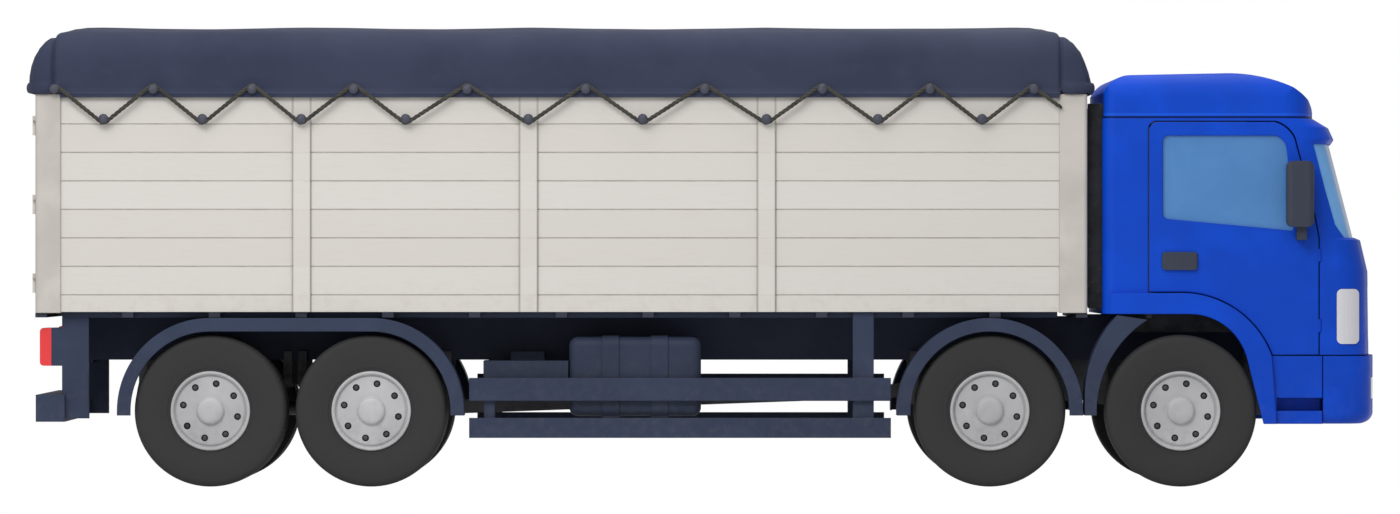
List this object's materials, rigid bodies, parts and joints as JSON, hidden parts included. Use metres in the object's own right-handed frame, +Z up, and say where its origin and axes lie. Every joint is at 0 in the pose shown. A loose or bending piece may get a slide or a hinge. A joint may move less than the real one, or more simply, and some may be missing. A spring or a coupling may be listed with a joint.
{
  "type": "rigid four-axle cargo truck with tarpaulin body",
  "caption": "Rigid forward-control cargo truck: tilting cab, high planked load body under a laced tarpaulin, twin steering axles in front and a tandem on twin wheels behind.",
  "frame": {"origin": "on the ground under the middle of the overall box", "axes": "+X to the truck's front, +Y to its left, +Z up"},
  "size_m": [10.84, 2.87, 3.707],
  "materials": {
    "chassis_paint": "satin",
    "cab_paint": "satin",
    "board_paint": "satin",
    "post_paint": "satin",
    "tarpaulin": "matte",
    "rope": "matte",
    "knob": "matte",
    "tyre": "matte",
    "rim_paint": "satin",
    "glass": "gloss",
    "dark_trim": "matte",
    "red_lens": "gloss",
    "clear_lens": "gloss",
    "deck_wood": "matte",
    "steel": "matte",
    "seat_cloth": "matte"
  },
  "bodies": {
    "chassis": {"frame_rails": "chassis_paint", "frame_crossmembers": "chassis_paint", "engine": "steel", "springs": "steel", "steer_axles": "steel", "drive_line": "steel", "load_deck": "deck_wood", "body_walls": "board_paint", "corner_posts": "post_paint", "tarpaulin": "tarpaulin", "roof_bows": "steel", "lashing_knobs": "knob", "lashing_rope": "rope", "fuel_tanks": "chassis_paint", "lockers": "chassis_paint", "side_guards": "chassis_paint", "mudguards": "chassis_paint", "rear_underrun": "chassis_paint", "tail_lamps": "red_lens"},
    "cab": {"cab_shell": "cab_paint", "cab_roof": "cab_paint", "windscreen": "glass", "headlamps": "clear_lens", "front_bumper": "cab_paint", "cab_steps": "cab_paint", "cab_fenders": "cab_paint", "grille": "dark_trim", "seats": "seat_cloth", "dashboard": "dark_trim"},
    "door_right": {"door_right": "cab_paint", "door_glass_right": "glass", "door_fittings_right": "dark_trim"},
    "rear_door_right": {"rear_door_right": "board_paint"},
    "door_left": {"door_left": "cab_paint", "door_glass_left": "glass", "door_fittings_left": "dark_trim"},
    "rear_door_left": {"rear_door_left": "board_paint"},
    "knuckle_first_left": {"knuckle_first_left": "steel"},
    "knuckle_first_right": {"knuckle_first_right": "steel"},
    "tie_rod_first": {"tie_rod_first": "steel"},
    "knuckle_second_left": {"knuckle_second_left": "steel"},
    "knuckle_second_right": {"knuckle_second_right": "steel"},
    "tie_rod_second": {"tie_rod_second": "steel"},
    "wheel_first_right": {"wheel_first_right": "rim_paint", "tyre_first_right": "tyre"},
    "wheel_first_left": {"wheel_first_left": "rim_paint", "tyre_first_left": "tyre"},
    "wheel_second_right": {"wheel_second_right": "rim_paint", "tyre_second_right": "tyre"},
    "wheel_second_left": {"wheel_second_left": "rim_paint", "tyre_second_left": "tyre"},
    "wheel_third_right": {"wheel_third_right": "rim_paint", "tyre_third_right": "tyre"},
    "wheel_third_left": {"wheel_third_left": "rim_paint", "tyre_third_left": "tyre"},
    "wheel_fourth_right": {"wheel_fourth_right": "rim_paint", "tyre_fourth_right": "tyre"},
    "wheel_fourth_left": {"wheel_fourth_left": "rim_paint", "tyre_fourth_left": "tyre"}
  },
  "joints": [
    {"name": "cab_tilt", "type": "hinge", "parent": "chassis", "child": "cab", "pos_m": [5.15, 0, 0.62], "axis": [0, 1, 0], "range_deg": [0, 50]},
    {"name": "door_right_swing", "type": "hinge", "parent": "cab", "child": "door_right", "pos_m": [4.916, -1.225, 2], "axis": [0, 0, 1], "range_deg": [0, 70]},
    {"name": "rear_door_right_swing", "type": "hinge", "parent": "chassis", "child": "rear_door_right", "pos_m": [-5.38, -1.1225, 2.25], "axis": [0, 0, 1], "range_deg": [0, 180]},
    {"name": "door_left_swing", "type": "hinge", "parent": "cab", "child": "door_left", "pos_m": [4.916, 1.225, 2], "axis": [0, 0, -1], "range_deg": [0, 70]},
    {"name": "rear_door_left_swing", "type": "hinge", "parent": "chassis", "child": "rear_door_left", "pos_m": [-5.38, 1.1225, 2.25], "axis": [0, 0, -1], "range_deg": [0, 180]},
    {"name": "steer_first_left", "type": "hinge", "parent": "chassis", "child": "knuckle_first_left", "pos_m": [3.804, 0.985, 0.608], "axis": [0, 0, 1], "range_deg": [-35, 35]},
    {"name": "steer_first_right", "type": "hinge", "parent": "chassis", "child": "knuckle_first_right", "pos_m": [3.804, -0.985, 0.608], "axis": [0, 0, 1], "range_deg": [-35, 35]},
    {"name": "tie_rod_first_swing", "type": "hinge", "parent": "knuckle_first_left", "child": "tie_rod_first", "pos_m": [3.554, 0.91, 0.467], "axis": [0, 0, 1], "range_deg": [-35, 35]},
    {"name": "steer_second_left", "type": "hinge", "parent": "chassis", "child": "knuckle_second_left", "pos_m": [2.276, 0.985, 0.608], "axis": [0, 0, 1], "range_deg": [-24.5, 24.5]},
    {"name": "steer_second_right", "type": "hinge", "parent": "chassis", "child": "knuckle_second_right", "pos_m": [2.276, -0.985, 0.608], "axis": [0, 0, 1], "range_deg": [-24.5, 24.5]},
    {"name": "tie_rod_second_swing", "type": "hinge", "parent": "knuckle_second_left", "child": "tie_rod_second", "pos_m": [2.026, 0.91, 0.467], "axis": [0, 0, 1], "range_deg": [-24.5, 24.5]},
    {"name": "wheel_first_right_spin", "type": "hinge", "parent": "knuckle_first_right", "child": "wheel_first_right", "pos_m": [3.804, -1.0925, 0.608], "axis": [0, 1, 0], "continuous": true},
    {"name": "wheel_first_left_spin", "type": "hinge", "parent": "knuckle_first_left", "child": "wheel_first_left", "pos_m": [3.804, 1.0925, 0.608], "axis": [0, 1, 0], "continuous": true},
    {"name": "wheel_second_right_spin", "type": "hinge", "parent": "knuckle_second_right", "child": "wheel_second_right", "pos_m": [2.276, -1.0925, 0.608], "axis": [0, 1, 0], "continuous": true},
    {"name": "wheel_second_left_spin", "type": "hinge", "parent": "knuckle_second_left", "child": "wheel_second_left", "pos_m": [2.276, 1.0925, 0.608], "axis": [0, 1, 0], "continuous": true},
    {"name": "wheel_third_right_spin", "type": "hinge", "parent": "chassis", "child": "wheel_third_right", "pos_m": [-2.676, -1.0925, 0.608], "axis": [0, 1, 0], "continuous": true},
    {"name": "wheel_third_left_spin", "type": "hinge", "parent": "chassis", "child": "wheel_third_left", "pos_m": [-2.676, 1.0925, 0.608], "axis": [0, 1, 0], "continuous": true},
    {"name": "wheel_fourth_right_spin", "type": "hinge", "parent": "chassis", "child": "wheel_fourth_right", "pos_m": [-3.964, -1.0925, 0.608], "axis": [0, 1, 0], "continuous": true},
    {"name": "wheel_fourth_left_spin", "type": "hinge", "parent": "chassis", "child": "wheel_fourth_left", "pos_m": [-3.964, 1.0925, 0.608], "axis": [0, 1, 0], "continuous": true}
  ],
  "couplings": [
    {"joint": "steer_first_right", "follows": "steer_first_left", "ratio": 1},
    {"joint": "tie_rod_first_swing", "follows": "steer_first_left", "ratio": -1},
    {"joint": "steer_second_left", "follows": "steer_first_left", "ratio": 0.7},
    {"joint": "steer_second_right", "follows": "steer_first_left", "ratio": 0.7},
    {"joint": "tie_rod_second_swing", "follows": "steer_first_left", "ratio": -0.7}
  ]
}
